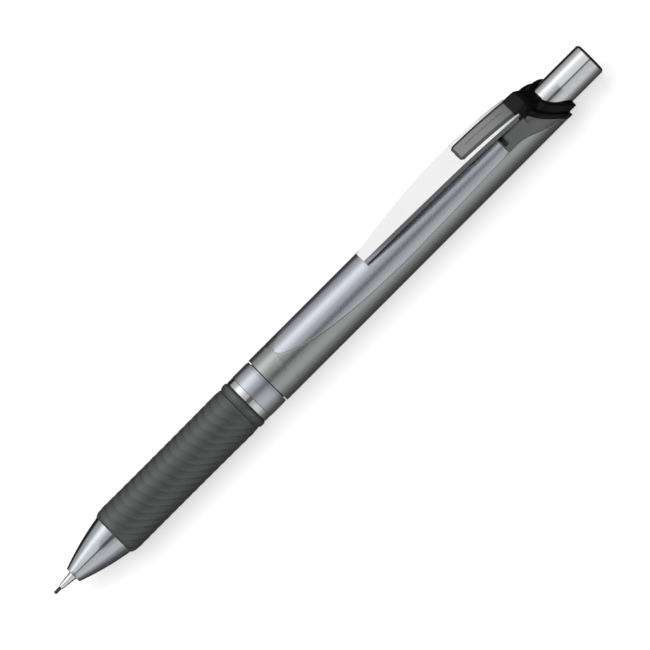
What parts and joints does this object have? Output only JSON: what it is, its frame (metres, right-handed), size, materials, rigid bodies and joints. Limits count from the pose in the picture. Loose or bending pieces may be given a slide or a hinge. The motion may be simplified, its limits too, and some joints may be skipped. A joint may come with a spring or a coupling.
{
  "type": "lead holder",
  "caption": "Slim push-button lead holder with a ribbed rubber grip, a screw-off metal nose, a sprung pocket clip and a pull-off end button.",
  "frame": {"origin": "on the axis of the body, at the writing point: the front end of the lead as it stands out", "axes": "+X runs along the body from the writing point to the push button, +Z points from the axis to the pocket clip, and +Y completes the right-handed frame; the body is drawn lying on the side opposite the clip"},
  "size_m": [0.143, 0.0106, 0.0142],
  "materials": {
    "graphite": "dull graphite rod",
    "guide_steel": "bright turned steel",
    "nose_chrome": "bright chrome plate",
    "retainer_rubber": "soft black rubber",
    "chuck_brass": "turned brass",
    "housing_plastic": "natural moulded plastic",
    "spring_steel": "drawn spring wire",
    "tube_plastic": "milky moulded tube",
    "eraser_white": "soft white eraser",
    "button_chrome": "bright chrome plate",
    "liner_brass": "turned brass tube",
    "grip_rubber": "dark grey-green soft rubber with fine ribs",
    "ring_chrome": "bright plated ring",
    "band_silver": "satin silver band",
    "barrel_paint": "metallic grey-green lacquer",
    "leaf_silver": "silver-blue metallic panel",
    "clip_plate": "satin bright plate",
    "insert_smoke": "smoky grey moulding",
    "saddle_smoke": "smoky grey-green moulding",
    "plug_plastic": "black moulded plug",
    "collar_black": "gloss black moulding"
  },
  "bodies": {
    "root": {"barrel": "barrel_paint", "leaf_panel": "leaf_silver", "bright_ring": "ring_chrome", "centre_band": "band_silver", "grip_liner": "liner_brass", "grip_sleeve": "grip_rubber", "clutch_housing": "housing_plastic", "clutch_spring": "spring_steel", "clip_saddle": "saddle_smoke", "tail_plug": "plug_plastic", "end_collar": "collar_black"},
    "nose": {"nose_cone": "nose_chrome", "guide_tip": "guide_steel", "lead_retainer": "retainer_rubber"},
    "plunger": {"lead_tube": "tube_plastic", "chuck_shank": "chuck_brass", "eraser_holder": "housing_plastic", "eraser": "eraser_white", "spare_leads": "graphite"},
    "ring": {"clutch_ring": "chuck_brass"},
    "lead_stick": {"lead": "graphite"},
    "jaw_1": {"chuck_jaw_1": "chuck_brass"},
    "jaw_2": {"chuck_jaw_2": "chuck_brass"},
    "jaw_3": {"chuck_jaw_3": "chuck_brass"},
    "button": {"push_button": "button_chrome"},
    "clip_arm": {"clip": "clip_plate", "clip_insert": "insert_smoke"}
  },
  "joints": [
    {"name": "button_press", "type": "slide", "parent": "root", "child": "plunger", "axis": [-1, 0, 0], "range_m": [0, 0.0024], "stiffness_N_per_m": 900, "springref_m": -0.002, "deforming": ["clutch_spring"]},
    {"name": "ring_slide", "type": "slide", "parent": "root", "child": "ring", "axis": [-1, 0, 0], "range_m": [0, 0.0008]},
    {"name": "lead_feed", "type": "slide", "parent": "root", "child": "lead_stick", "axis": [-1, 0, 0], "range_m": [0, 0.0007]},
    {"name": "button_pull", "type": "slide", "parent": "plunger", "child": "button", "axis": [1, 0, 0], "range_m": [0, 0.018]},
    {"name": "nose_unscrew", "type": "slide", "parent": "root", "child": "nose", "axis": [-1, 0, 0], "range_m": [0, 0.012]},
    {"name": "clip_flex", "type": "hinge", "parent": "root", "child": "clip_arm", "pos_m": [0.12495, 0, 0.00715], "axis": [0, 1, 0], "range_deg": [0, 5], "stiffness_Nm_per_rad": 2},
    {"name": "jaw_1_open", "type": "hinge", "parent": "plunger", "child": "jaw_1", "pos_m": [0.021, 0, 0.00098], "axis": [0, 1, 0], "range_deg": [0, 1.5]},
    {"name": "jaw_2_open", "type": "hinge", "parent": "plunger", "child": "jaw_2", "pos_m": [0.021, -0.00085, -0.00049], "axis": [0, -0.5, 0.866], "range_deg": [0, 1.5]},
    {"name": "jaw_3_open", "type": "hinge", "parent": "plunger", "child": "jaw_3", "pos_m": [0.021, 0.00085, -0.00049], "axis": [0, -0.5, -0.866], "range_deg": [0, 1.5]}
  ],
  "couplings": [
    {"joint": "ring_slide", "follows": "button_press", "ratio": 0.333},
    {"joint": "lead_feed", "follows": "button_press", "ratio": 0.29},
    {"joint": "jaw_1_open", "follows": "button_press", "rad_per_m": 10.9},
    {"joint": "jaw_2_open", "follows": "button_press", "rad_per_m": 10.9},
    {"joint": "jaw_3_open", "follows": "button_press", "rad_per_m": 10.9}
  ]
}
